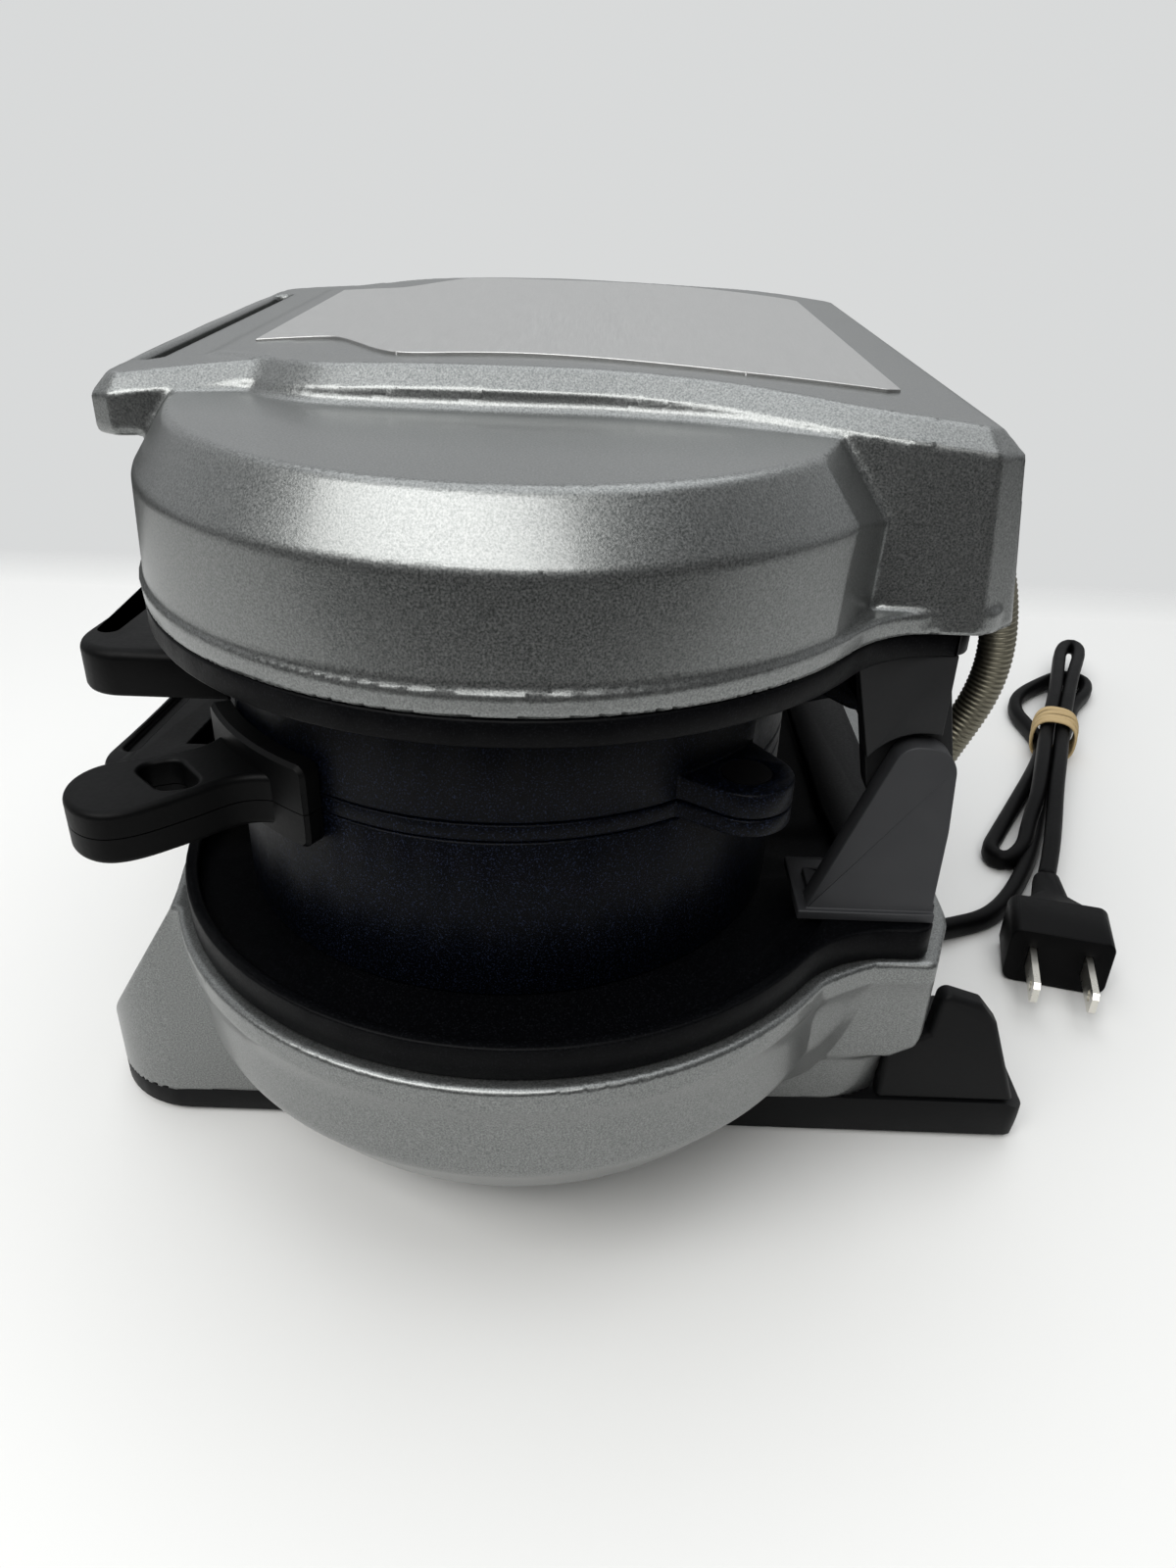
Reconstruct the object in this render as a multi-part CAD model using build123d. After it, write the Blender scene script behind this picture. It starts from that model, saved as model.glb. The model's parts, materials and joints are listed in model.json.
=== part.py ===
from build123d import *
import math
import os

os.makedirs("parts", exist_ok=True)

# A closed twin sandwich maker in millimetres: X runs across the two cooking lobes, -Y is the
# front with the handles, +Y is the hinge side, and Z is height above the table.
# Everything is laid out about the line between the lobe centres; save() then moves it so that
# the origin lies under the middle of the appliance.

LOBE_X = 58.0
LOBE_R = 71.1
WALL = 2.4

# heights of the stack
FEET_TOP = 3.0
BASE_BOTTOM = 1.5
BASE_FLOOR = 4.5
BASE_EDGE = (6.0, 11.0)
BOWL_BOTTOM = 21.0
BOWL_BEND = 34.4
LOWER_RIM = 57.1
LOWER_PLATE_TOP = 62.0
LOWER_LIP_TOP = 64.2
LOWER_RING = (62.3, 93.8)
COOK_PLATE = (94.1, 97.2)
UPPER_RING = (97.5, 117.0)
UPPER_PLATE = (118.5, 123.0)
COVER_RIM = 123.2
COVER_FLANGE = 127.1
COVER_SHOULDER = 143.6
COVER_LOBE_TOP = 153.3
COVER_CREST = 160.3

# plan of the housings
COLUMN_HALF = 82.0
BACK_HALF = 92.0
BACK_Y = 87.0
FRONT_Y = -93.0
FRONT_TOP_Y = -69.0
PLATE_BACK = 81.0
PLATE_R = 69.5
REAR_FOOT_Y = 113.0
REAR_FOOT_X = 77.4
MID_DEPTH = 7.165

# cooking rings, about their own centre line
RING_Y = -2.4
RING_R = 54.0
RING_WALL = 2.5
DISC_R = 48.0

# main hinge
HINGE_Y = 73.0
HINGE_Z = 92.0
ROD_R = 3.0
RUN = 0.06
BRACKET_X = (83.0, 88.0)
ARM_X = (76.5, 82.0)
ARM_CHEEK_X = 86.5
BRACKET_SCREW = (73.0, 66.0)
LOWER_KNUCKLE_X = (22.0, 30.0)
UPPER_KNUCKLE_X = (31.0, 39.0)
KNUCKLE_R = 7.0

# cooking plate pivot
PIVOT = (100.0, 40.0)
LUG_R = 8.0
PIVOT_R = 2.4
LUG_HEIGHT = 4.6
COOK_HANDLE = (90.2, 95.2, 99.8)
GUARD = (88.3, 104.0)
GUARD_ANGLES = (-64, -31)
GUARD_R = (54.6, 58.2)
GRIP_EDGE = (
    (107.6, -32.9),
    (104.9, -35.7),
    (103.1, -39.6),
    (103.8, -44),
    (107.8, -48.7),
    (112.3, -53.6),
    (115.6, -58),
    (116.9, -62.3),
    (115.2, -67),
    (110.9, -70.3),
    (105.8, -70.9),
    (101.2, -68.6),
    (98.6, -64),
    (96.8, -59.5),
    (94.4, -55.6),
    (91.2, -52.7),
    (87, -51.6),
)
GRIP_HOLE = ((101.9, -58.6, 2.5), (101, -56.6, 2.5), (105.4, -52.8, 2.5), (105.9, -54.6, 2.5))
GRIP_SCREWS = ((99.2, -48.2), (109.5, -64.5))

# handles
LOWER_HANDLE = (72.6, 82.0)
UPPER_HANDLE = (98.6, 108.0)
HANDLE_FRONT = -86.0
HANDLE_HALF = 73.0
COVER_HANDLE = (145.5, 155.2)
COVER_HANDLE_FRONT = -77.0
COVER_HANDLE_HALF = 67.0
SCREW_X = 66.0
PANEL_T = 1.1
ARCH_STEPS = (-64, -44, -22, 0, 22, 44, 64, 86)
COVER_SCREWS = ((20, -58), (110, 30), (30, 70))

# timer knob on the sloping front
SLOPE_FOOT_Z = 17.0
KNOB_R = 16.0
KNOB_Z = 33.0
LAMP_X = 30.0

# wiring
CONDUIT_X = 57.5
CONDUIT_R = 4.3
CONDUIT_TOP = 133.0
CONDUIT_DOWN_Y = 84.0
FERRULE_R = 5.2
COLLAR_R = 6.8
FERRULE_TILT = 30.0

# cord: where it leaves, its route over the table, the tied bundle and the plug
CORD_R = 2.6
CORD_EXIT = (14.0, 79.5, 19.0)
GLAND_FLANGE = 3.0
GLAND_TILT = 28.0
GLAND_CONE = 19.0
CORD_ROUTE = [
    (14, 99.3, 10.1),
    (14, 106.2, 6.4),
    (12.3, 114.5, 3.7),
    (8.2, 123.5, 2.7),
    (1.5, 132, 2.7),
    (-8, 138.3, 2.7),
    (-21.5, 142.9, 2.8),
    (-35.5, 146.8, 3.1),
    (-48.5, 151.9, 3.2),
]
LEAD_ROUTE = [(-10.5, 148.6, 8.6), (-22.2, 151.5, 8.4), (-33.8, 155.6, 7.2), (-45.1, 160.4, 6.6)]
HANK_START = (-46.2, 157.5)
HANK_TURN = 157.8
HANK_LENGTH = 160.0
BAND = (78.0, 92.0)
PLUG_NOSE = (28.0, 139.0)
PLUG_TURN = 166.0
BLADES = (-7.0, 7.0)


def save(pieces, node):
    """Writes one node, from a shape or a list of separate shapes."""
    pieces = pieces if isinstance(pieces, list) else [pieces]
    solids = [solid for piece in pieces for solid in piece.solids()]
    group = solids[0] if len(solids) == 1 else Compound(solids)
    export_step(Pos(0, -MID_DEPTH, 0) * group, f"parts/{node}.step")


def block(x, y, z):
    middle = ((x[0] + x[1]) / 2, (y[0] + y[1]) / 2, (z[0] + z[1]) / 2)
    return Pos(*middle) * Box(x[1] - x[0], y[1] - y[0], z[1] - z[0])


def post(x, y, z, radius):
    return Pos(x, y, (z[0] + z[1]) / 2) * Cylinder(radius, z[1] - z[0])


def cross_rod(x, y, z, radius):
    return Pos((x[0] + x[1]) / 2, y, z) * Rot(0, 90, 0) * Cylinder(radius, x[1] - x[0])


def polygon(points):
    """A face from its corners, with repeated neighbours left out."""
    kept = [p for p, before in zip(points, [None] + list(points)) if p != before]
    return make_face(Polyline(*kept, close=True))


def side_profile(x, points):
    """A prism across X from an outline of (y, z) points."""
    outline = Plane.YZ * polygon(points)
    return Pos(x[0], 0, 0) * extrude(outline, x[1] - x[0])


def front_profile(y, points):
    """A prism along Y from an outline of (x, z) points."""
    outline = Plane.XZ * polygon(points)
    return Pos(0, y[1], 0) * extrude(outline, y[1] - y[0])


def plan_prism(face, z):
    return Pos(0, 0, z[0]) * extrude(face, z[1] - z[0])


def mirrored(shape):
    return mirror(shape, about=Plane.YZ)


def both_sides(shape):
    return [shape, mirrored(shape)]


def hull_2d(circles):
    """The outline round several (x, y, r) circles."""
    return make_hull([edge for x, y, r in circles for edge in (Pos(x, y) * Circle(r)).edges()])


# outlines shared by the heating plates and the cover


def plate_plan(radius, back_half, back_y, blend):
    """Two lobes with a straight front between them and a squarer back, joined by soft curves."""
    tail = Pos(0, back_y / 2) * Rectangle(2 * back_half, back_y)
    tail = fillet(tail.vertices().group_by(Axis.Y)[-1], 4)
    face = tail + Pos(0, (back_y - radius) / 2) * Rectangle(2 * LOBE_X, back_y + radius)
    curve_x = back_half + blend
    curve_y = math.sqrt((radius + blend) ** 2 - (curve_x - LOBE_X) ** 2)
    for side in (-1, 1):
        wedge = polygon([(side * x, y) for x, y in ((LOBE_X, 0), (curve_x, curve_y), (back_half - 1, curve_y))])
        face += Pos(side * LOBE_X, 0) * Circle(radius)
        face += wedge - Pos(side * curve_x, curve_y) * Circle(blend)
    return face


def bowl(points, side):
    """A lobe turned about its own vertical axis from (radius, z) points."""
    outline = Plane.XZ * polygon(points)
    return Pos(side * LOBE_X, 0, 0) * revolve(outline, Axis.Z)


# lower housing


def lower_body(inset, top, bottom):
    """The outside of the lower housing, or its inside when inset is the wall."""
    cone = 0.35 * inset
    profile = [
        (0, BOWL_BOTTOM + inset),
        (60 - cone - inset, BOWL_BOTTOM + inset),
        (69.3 - inset, BOWL_BEND + cone),
        (LOBE_R - inset, LOWER_RIM),
        (LOBE_R - inset, top),
        (0, top),
    ]
    front = [
        (BACK_Y - inset - 20, bottom),
        (FRONT_Y + inset, bottom + BASE_EDGE[0] - BASE_EDGE[1]),
        (FRONT_Y + inset, SLOPE_FOOT_Z),
        (FRONT_TOP_Y + inset * 1.2, LOWER_RIM),
        (FRONT_TOP_Y + inset * 1.2, top),
        (BACK_Y - inset - 20, top),
    ]
    half = COLUMN_HALF - inset
    column = side_profile((-half, half), front)
    corner_plan = Rectangle(2 * half, BACK_Y - FRONT_Y - 2 * inset)
    corner_plan = fillet(corner_plan.vertices(), 20 - inset)
    column &= plan_prism(Pos(0, (BACK_Y + FRONT_Y) / 2) * corner_plan, (0, top))
    tail = block((-half, half), (20, 79.5 - inset), (bottom, LOWER_RIM))
    rear = [
        (20, 26 + inset),
        (79.5 - inset, 26 + inset),
        (84 - inset, 29 + inset),
        (BACK_Y - inset, 36),
        (BACK_Y - inset, LOWER_RIM),
        (BACK_Y - inset, top),
        (20, top),
    ]
    wide = BACK_HALF - inset
    rear_block = side_profile((-wide, wide), rear)
    taper = [
        (-COLUMN_HALF + inset, 11),
        (COLUMN_HALF - inset, 11),
        (wide, LOWER_RIM),
        (wide, top),
        (-wide, top),
        (-wide, LOWER_RIM),
    ]
    rear_block &= front_profile((0, BACK_Y), taper)
    body = column + tail + rear_block
    for side in (-1, 1):
        body += bowl(profile, side)
    for side in (-1, 1):
        corner = polygon([(side * 94, 81.5 - inset), (side * 79, 87.3 - inset), (side * 94, 92)])
        body -= plan_prism(corner, (0, top + 1))
    return body


def make_lower_housing():
    shell = lower_body(0, LOWER_RIM, BASE_EDGE[1]) - lower_body(WALL, LOWER_RIM + 5, 5)
    for x, y in screw_spots():
        shell += post(x, y, (BASE_FLOOR, 42), 4.0)
        shell -= post(x, y, (0, 20), 1.5)
    shell -= slope_place(0, 0) * Cylinder(4.0, 16)
    for side in (-1, 1):
        shell -= slope_place(side * LAMP_X, 0) * Cylinder(3.0, 16)
    x, y, z = CORD_EXIT
    shell -= Pos(x, y, z) * Rot(90, 0, 0) * Cylinder(4.2, 12)
    return shell - post(CONDUIT_X, CONDUIT_DOWN_Y, (48, 60), FERRULE_R)


def slope_place(x, lift):
    """A spot on the sloping front, its Z axis square to the slope."""
    drop = LOWER_RIM - SLOPE_FOOT_Z
    reach = FRONT_TOP_Y - FRONT_Y
    y = FRONT_TOP_Y - reach * (LOWER_RIM - KNOB_Z) / drop
    lean = math.degrees(math.atan2(drop, reach))
    return Pos(x, y, KNOB_Z) * Rot(lean, 0, 0) * Pos(0, 0, lift)


# base plate and feet


def make_base_plate():
    wedge = side_profile(
        (-COLUMN_HALF, COLUMN_HALF),
        [
            (FRONT_Y, BASE_BOTTOM),
            (REAR_FOOT_Y - 2, BASE_BOTTOM),
            (REAR_FOOT_Y, 8.5),
            (108, BASE_EDGE[1]),
            (BACK_Y - 20, BASE_EDGE[1]),
            (FRONT_Y, BASE_EDGE[0]),
        ],
    )
    outline = Rectangle(2 * COLUMN_HALF, REAR_FOOT_Y - FRONT_Y)
    outline = fillet(outline.vertices().group_by(Axis.Y)[0], 20)
    outline = fillet(outline.vertices().group_by(Axis.Y)[-1], 4)
    plate = wedge & plan_prism(Pos(0, (REAR_FOOT_Y + FRONT_Y) / 2) * outline, (0, 20))
    plate -= block((-46, 46), (84, 130), (0, 20))
    plate -= block((-76, 76), (FRONT_Y + 8, 78.2), (BASE_FLOOR, 20))
    for x, y in foot_spots():
        plate -= post(x, y, (0, FEET_TOP), 7)
    for x, y in screw_spots():
        plate -= post(x, y, (0, 3.2), 3.4)
        plate -= post(x, y, (0, 20), 1.55)
    return plate


def foot_spots():
    return [(side * 68, y) for side in (-1, 1) for y in (-75, 99)]


def screw_spots():
    return [(side * 52, y) for side in (-1, 1) for y in (-74, 74)]


def make_rubber_feet():
    return [post(x, y, (0, FEET_TOP), 7) for x, y in foot_spots()]


def make_base_screws():
    screws = []
    for x, y in screw_spots():
        head = post(x, y, (1.7, 3.2), 3.2) - block((x - 2.4, x + 2.4), (y - 0.4, y + 0.4), (1, 2.3))
        screws.append(head + post(x, y, (3.2, 18), 1.5))
    return screws


def make_rear_foot():
    profile = [
        (79.5, BASE_EDGE[1]),
        (79.5, 25),
        (88, 30),
        (89, 41),
        (98, 38),
        (102, 33),
        (REAR_FOOT_Y - 3, BASE_EDGE[1]),
    ]
    foot = side_profile((REAR_FOOT_X, COLUMN_HALF - 0.3), profile)
    foot = fillet(foot.edges().filter_by(Axis.X).group_by(Axis.Z)[-1], 2)
    foot = chamfer(foot.edges().filter_by(Plane.YZ).group_by(Axis.X)[-1], 0.8)
    return foot - lower_body(0, LOWER_RIM, BASE_EDGE[1])


# heating plates


def make_lower_plate():
    outline = plate_plan(PLATE_R, 91.5, PLATE_BACK, 24)
    plate = plan_prism(outline, (LOWER_RIM + 0.2, LOWER_LIP_TOP))
    dish = plan_prism(plate_plan(PLATE_R - 2.6, 72, 66, 24), (LOWER_PLATE_TOP, LOWER_LIP_TOP + 1))
    plate -= dish
    for side in (-1, 1):
        plate += post(side * LOBE_X, RING_Y, (LOWER_PLATE_TOP - 1, 63.6), DISC_R)
        plate -= post(side * LOBE_X, RING_Y, (62.6, 70), DISC_R - 4)
        plate -= post(side * BRACKET_SCREW[0], BRACKET_SCREW[1], (50, 70), 1.75)
    return plate - post(CONDUIT_X, CONDUIT_DOWN_Y, (50, 70), COLLAR_R + 0.3)


def make_upper_plate():
    low, high = UPPER_PLATE
    plate = plan_prism(plate_plan(68.0, 87, 78, 24), (low, high))
    for side in (-1, 1):
        plate += post(side * LOBE_X, RING_Y, (low - 1.9, low + 1), DISC_R)
        plate -= post(side * LOBE_X, RING_Y, (low - 3, low - 0.9), DISC_R - 4)
        for x, y in COVER_SCREWS:
            plate -= post(side * x, y, (low - 4, high + 1), 1.5)
    return plate


def element_pair(z, radius, pin_end):
    """A C-shaped tubular heater under each lobe with its two cold pins."""
    pieces = []
    for side in (-1, 1):
        path = Pos(side * LOBE_X, RING_Y, z) * CenterArc((0, 0), 34, 120, 300)
        start = Plane(origin=path @ 0, z_dir=path % 0)
        heater = sweep(start * Circle(radius), path)
        for end in (path @ 0, path @ 1):
            heater += post(end.X, end.Y, sorted((z, pin_end)), 1.6)
        pieces.append(heater)
    return pieces


# hinge


def make_bracket():
    x0, x1 = BRACKET_X
    outline = hull_2d([(72.2, 97.1, 4.4), (73.7, 95.6, 5.8), (57.2, 66.5, 1), (79.3, 84, 1), (79.3, 66.5, 1)])
    upright = Pos(x0, 0, 0) * extrude(Plane.YZ * outline, x1 - x0)
    bracket = upright + block((70, x1 + 1), (54.5, PLATE_BACK - 0.3), (LOWER_LIP_TOP, 66.2))
    bracket += block((76, x1), (57, PLATE_BACK - 0.3), (66.2, 67.8))
    bracket -= cross_rod((60, x1 - 1.6), HINGE_Y, HINGE_Z, ROD_R)
    return bracket - post(BRACKET_SCREW[0], BRACKET_SCREW[1], (60, 66.3), 1.75)


def make_bracket_screw():
    x, y = BRACKET_SCREW
    return post(x, y, (66.2, 67.7), 2.6) + post(x, y, (52, 66.2), 1.75)


def make_hinge_arm():
    """An inner knuckle on the rod, and an outer cheek arched over the bracket's round head."""
    x0, x1 = ARM_X
    low = UPPER_PLATE[0]
    outline = hull_2d([(HINGE_Y, HINGE_Z, 8), (61, low - 1, 1), (75, low - 1, 1)])
    arm = Pos(x0, 0, 0) * extrude(Plane.YZ * outline, x1 - x0)
    cheek = side_profile((x1, ARM_CHEEK_X), [(58.6, low), (63.5, 97), (76, 97), (76, low)])
    arm += cheek - cross_rod((x1, 95), HINGE_Y, HINGE_Z, 11.5)
    arm += block((66, ARM_CHEEK_X), (54, 76), (low - 2.5, low))
    return arm - cross_rod((60, 95), HINGE_Y, HINGE_Z, ROD_R + RUN)


def make_hinge_rod():
    return cross_rod((-BRACKET_X[1] + 1.6, BRACKET_X[1] - 1.6), HINGE_Y, HINGE_Z, ROD_R)


# rings


def ring_pair(z):
    low, high = z
    body = block((-9, 9), (RING_Y - 13, RING_Y + 13), (low + 3, high - 3))
    for side in (-1, 1):
        body += post(side * LOBE_X, RING_Y, z, RING_R)
    for side in (-1, 1):
        body -= post(side * LOBE_X, RING_Y, (low - 1, high + 1), RING_R - RING_WALL)
        body += ring_bead(side, high)
    return body


def ring_bead(side, high):
    """A thickened rim round the top of a ring."""
    bead = post(side * LOBE_X, RING_Y, (high - 2.2, high), RING_R)
    return bead - post(side * LOBE_X, RING_Y, (high - 3, high + 1), RING_R - RING_WALL - 0.6)


def knuckle(x, arm_y, arm_z):
    """An arm from a ring to the hinge rod."""
    outline = hull_2d([(HINGE_Y, HINGE_Z, KNUCKLE_R), (arm_y, arm_z[0] + 2, 2), (arm_y, arm_z[1] - 2, 2)])
    return Pos(x[0], 0, 0) * extrude(Plane.YZ * outline, x[1] - x[0])


def with_knuckles(rings, x, arm_y, arm_z):
    arms = both_sides(knuckle(x, arm_y, arm_z))
    for arm, side in zip(arms, (1, -1)):
        arm -= post(side * LOBE_X, RING_Y, (50, 130), RING_R - 1)
        rings += arm - post(side * LOBE_X, RING_Y, (COOK_PLATE[0], UPPER_RING[0]), RING_R + 1)
    return rings - cross_rod((-60, 60), HINGE_Y, HINGE_Z, ROD_R + RUN)


def make_lower_ring():
    rings = with_knuckles(ring_pair(LOWER_RING), LOWER_KNUCKLE_X, 38, (76, 88))
    return rings - make_handle_screws(LOWER_HANDLE)


def make_upper_ring():
    low, high = UPPER_RING
    rings = with_knuckles(ring_pair(UPPER_RING), UPPER_KNUCKLE_X, 46, (98, 109))
    lug_top = low + LUG_HEIGHT
    for side in (-1, 1):
        lug = hull_2d([(PIVOT[0], PIVOT[1], LUG_R), (90, 30, 11)])
        lug = plan_prism(lug, (low, lug_top)) - post(LOBE_X, RING_Y, (90, 120), RING_R - 1)
        lug -= post(PIVOT[0], PIVOT[1], (90, 120), PIVOT_R)
        lug -= post(PIVOT[0], PIVOT[1], (lug_top - 1.2, lug_top + 1), 4.3)
        rings += lug if side > 0 else mirrored(lug)
    return rings - make_handle_screws(UPPER_HANDLE)


def bar_line(half, ends, middle):
    """A line across the front that bows in its middle."""
    return ThreePointArc((half, ends), (0, middle), (-half, ends))


def bowed_slab(half, back, ends, middle, z):
    """A slab whose back is straight and whose front edge follows a bowed line."""
    sides = Polyline((-half, ends), (-half, back), (half, back), (half, ends))
    face = make_face(bar_line(half, ends, middle).edges() + sides.edges())
    return plan_prism(face, z)


def front_rounded(slab, corner, rim, back):
    """Rounds a slab's two front corners and the top edge in front of the line y = back."""
    corners = slab.edges().filter_by(Axis.Z).sort_by(Axis.Y)[:2]
    slab = fillet(corners, corner)
    top = slab.faces().sort_by(Axis.Z)[-1].edges().filter_by(lambda edge: edge.center().Y < back)
    return fillet(top, rim)


def make_ring_handle(z):
    """A wide loop across the front of a pair of rings, hugging both of them."""
    low, high = z
    front = HANDLE_FRONT
    loop = front_rounded(bowed_slab(HANDLE_HALF, -44, front, front + 6, z), 9, 2, -46)
    loop -= bowed_slab(59, -30, front + 17, front + 21, (low - 1, high + 1))
    for side in (-1, 1):
        loop -= post(side * LOBE_X, RING_Y, (low - 5, high + 5), RING_R)
        loop -= Pos(side * SCREW_X, -58, (low + high) / 2) * Rot(90, 0, 0) * Cylinder(1.15, 22)
        slot = hull_2d([(side * 62, front + 6, 1.4), (side * 12, front + 11, 1.4)])
        loop -= plan_prism(slot, (high - 1.2, high + 1))
    return loop


def make_handle_screws(z):
    """Screws from inside each ring into the handle's ends."""
    inner = RING_R - RING_WALL
    wall_y = RING_Y - math.sqrt(inner**2 - (SCREW_X - LOBE_X) ** 2)
    screws = []
    for side in (-1, 1):
        place = Pos(side * SCREW_X, wall_y, (z[0] + z[1]) / 2) * Rot(90, 0, 0)
        screws.append(place * (Pos(0, 0, -0.9) * Cylinder(2.4, 1.6) + Pos(0, 0, 5) * Cylinder(1.15, 12)))
    return screws


# cooking plates that swing out from between the rings


def make_cooking_plate():
    low, high = COOK_PLATE
    plate = post(LOBE_X, RING_Y, COOK_PLATE, RING_R)
    lug = hull_2d([(PIVOT[0], PIVOT[1], LUG_R), (88, 28, 12)])
    plate += plan_prism(lug, COOK_PLATE)
    plate -= post(LOBE_X, RING_Y, (high - 0.8, high + 1), RING_R - 5)
    plate += tab_socket() - post(*GRIP_SCREWS[0], (low - 1, high + 1), 1.4)
    return plate - post(PIVOT[0], PIVOT[1], (low - 1, high + 1), PIVOT_R + RUN)


def tab_socket():
    """The space for the cooking plate's tab inside the handle."""
    return Pos(LOBE_X, RING_Y, 0) * Rot(0, 0, -48) * block((50, 64), (-4, 4), COOK_PLATE)


def make_pivot_rivet():
    low = COOK_PLATE[0]
    top = UPPER_RING[0] + LUG_HEIGHT
    rivet = post(PIVOT[0], PIVOT[1], (low - 0.2, top), PIVOT_R)
    rivet += post(PIVOT[0], PIVOT[1], (low - 1.8, low - 0.2), 3.8)
    return rivet + post(PIVOT[0], PIVOT[1], (top - 1.2, top), 4.2)


def grip_plan():
    """The handle's outline: a round tip, a waist and a flare into the guard."""
    edge = Spline(*GRIP_EDGE)
    inside = Polyline(GRIP_EDGE[-1], (LOBE_X, RING_Y), GRIP_EDGE[0])
    return make_face(edge.edges() + inside.edges())


def guard(z, rim):
    """Half the height of the curved guard beside the ring; rim is 0 for its lower end, -1 for its upper."""
    inner, outer = GUARD_R
    ring = post(LOBE_X, RING_Y, z, outer) - post(LOBE_X, RING_Y, (z[0] - 1, z[1] + 1), inner)
    start, end = GUARD_ANGLES
    corners = [(LOBE_X, RING_Y)]
    for angle in (start, (start + end) / 2, end):
        turn = math.radians(angle)
        corners.append((LOBE_X + 90 * math.cos(turn), RING_Y + 90 * math.sin(turn)))
    piece = ring & plan_prism(polygon(corners), z)
    ends = piece.faces().sort_by(Axis.Z)[rim].edges().filter_by(GeomType.LINE)
    piece = fillet(ends, 2)
    arcs = piece.faces().sort_by(Axis.Z)[rim].edges().filter_by(GeomType.CIRCLE)
    return chamfer(arcs.sort_by(lambda edge: edge.length)[-1], 0.7)


def handle_half(grip_z, guard_z, rim):
    """One of the handle's two mouldings, with its outer rim rounded and the tab's space cut out."""
    grip = plan_prism(grip_plan(), grip_z)
    outer = grip.faces().sort_by(Axis.Z)[rim].edges().sort_by(lambda edge: edge.length)[-1]
    grip = fillet(outer, 1.2) - plan_prism(hull_2d(GRIP_HOLE), (grip_z[0] - 1, grip_z[1] + 1))
    around = grip.faces().sort_by(Axis.Z)[rim].edges().filter_by(lambda edge: 97 < edge.center().X < 109)
    grip = fillet(around, 0.8) - post(LOBE_X, RING_Y, (60, 120), GUARD_R[0])
    return grip + guard(guard_z, rim) - tab_socket()


def make_cook_handle_top():
    low, middle, high = COOK_HANDLE
    handle = handle_half((middle, high), (middle, GUARD[1]), -1)
    for x, y in GRIP_SCREWS:
        handle -= post(x, y, (middle - 1, middle + 3.2), 1.2)
    return handle


def make_cook_handle_bottom():
    low, middle, high = COOK_HANDLE
    handle = handle_half((low, middle - 0.2), (GUARD[0], middle - 0.2), 0)
    for x, y in GRIP_SCREWS:
        handle -= post(x, y, (low - 1, low + 1.6), 2.6)
        handle -= post(x, y, (low, high), 1.2)
    return handle


def make_cook_handle_screws():
    low, middle, high = COOK_HANDLE
    screws = []
    for x, y in GRIP_SCREWS:
        screws.append(post(x, y, (low + 0.3, low + 1.6), 2.4) + post(x, y, (low + 1.6, middle + 3), 1.15))
    return screws


# cover


def crest_height(y):
    """The arched top of the centre body."""
    return COVER_CREST - 4.8 * (y / 77.0) ** 2


def arch_edge(drop):
    return Spline(*[(y, crest_height(y) - drop) for y in ARCH_STEPS])


def arch_prism(upper, lower):
    """A slab across the cover between two outlines in (y, z)."""
    face = make_face(upper.edges() + lower.edges())
    return Pos(-90, 0, 0) * extrude(Plane.YZ * face, 180)


def half_outline(points):
    """A face from the right-hand half of a symmetric plan."""
    left = [(-x, y) for x, y in reversed(points)]
    return polygon(points + left)


def crest_body(inset):
    """The arched centre body between the lobes."""
    half = [(50, -62), (59, -56), (62.5, -46), (70, -34), (72.6, 0), (72.8, 16), (75.8, 33), (80, 44)]
    half += [(83.6, 53), (85, 62), (85, 75.5), (82, 80)]
    plan = half_outline([(x - inset, y * (1 - inset / 80)) for x, y in half])
    low = COVER_FLANGE - 1
    top = arch_edge(inset)
    frame = Polyline(top @ 1, (ARCH_STEPS[-1], low), (ARCH_STEPS[0], low), top @ 0)
    return arch_prism(top, frame) & plan_prism(plan, (low, 170))


def cover_body(inset):
    """The outside of the cover, or its inside when inset is the wall."""
    flange = plate_plan(68.4 - inset, 87 - inset, 80 - inset, 24)
    bottom = COVER_RIM if inset == 0 else COVER_RIM - 5
    body = plan_prism(flange, (bottom, COVER_FLANGE))
    lobe = [
        (0, COVER_FLANGE - 1),
        (67.6 - inset, COVER_FLANGE - 1),
        (66.9 - inset, COVER_SHOULDER - inset * 0.4),
        (60.4 - inset, COVER_LOBE_TOP - inset),
        (0, COVER_LOBE_TOP - inset),
    ]
    for side in (-1, 1):
        body += bowl(lobe, side)
    return body + crest_body(inset)


def make_cover_handle():
    """The loop across the front of the cover."""
    low, high = COVER_HANDLE
    front = COVER_HANDLE_FRONT
    loop = front_rounded(bowed_slab(COVER_HANDLE_HALF, -45, front + 2, front, COVER_HANDLE), 6, 2, -47)
    loop -= bowed_slab(52, -65.4, -71.9, -73.2, (low - 1, high + 1))
    return loop - cover_body(0.4)


def panel_plan(inset):
    half = [(40.5, -51.5), (40.3, -38.6), (56, -26.3), (60.5, -20.5), (59.5, 1), (61, 15), (64, 38)]
    half += [(63.9, 64.5)]
    return half_outline([(x - inset, y * (1 - inset / 60)) for x, y in half])


def crest_sheet(drops, face):
    """A thin sheet that follows the arch, between two depths below it."""
    upper = arch_edge(drops[0])
    lower = arch_edge(drops[1])
    ends = [Line(upper @ 0, lower @ 0), Line(upper @ 1, lower @ 1)]
    side = make_face(upper.edges() + lower.edges() + [end.edge() for end in ends])
    return Pos(-90, 0, 0) * extrude(Plane.YZ * side, 180) & plan_prism(face, (140, 170))


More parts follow.
